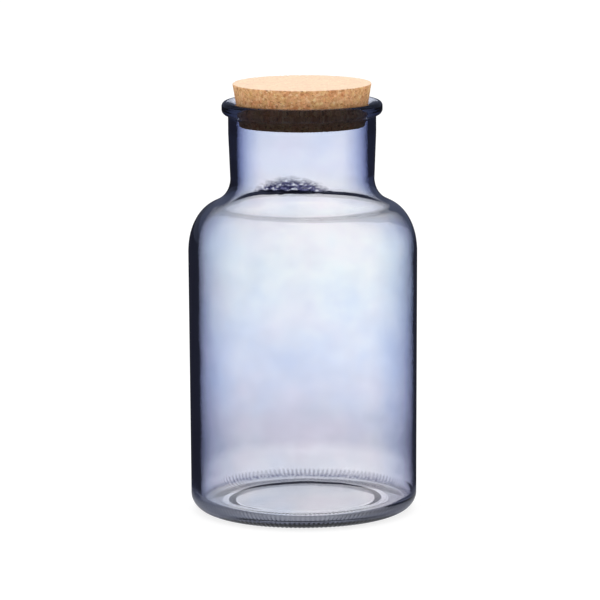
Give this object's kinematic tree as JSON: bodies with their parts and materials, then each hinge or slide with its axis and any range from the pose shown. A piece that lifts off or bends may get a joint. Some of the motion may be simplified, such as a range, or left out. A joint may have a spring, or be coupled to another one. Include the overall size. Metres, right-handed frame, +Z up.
{
  "type": "glass jar with cork stopper",
  "caption": "Wide-mouth glass storage jar with rounded shoulder, flat rim, pushed-up base and a tapered cork stopper that lifts out.",
  "frame": {"origin": "centre of the ring the jar stands on, on the resting surface", "axes": "+Z up along the axis of the jar and the stopper; the jar is round, so +X and +Y are free"},
  "size_m": [0.15, 0.15, 0.2826],
  "materials": {
    "tinted_glass": "clear pressed glass with a smoky blue-lilac tint",
    "cork": "agglomerated cork, fine granules, matt"
  },
  "bodies": {
    "jar": {"glass_jar": "tinted_glass"},
    "stopper": {"cork_stopper": "cork"}
  },
  "joints": [
    {"name": "stopper_lift", "type": "slide", "parent": "jar", "child": "stopper", "axis": [0, 0, 1], "range_m": [0, 0.12]}
  ]
}
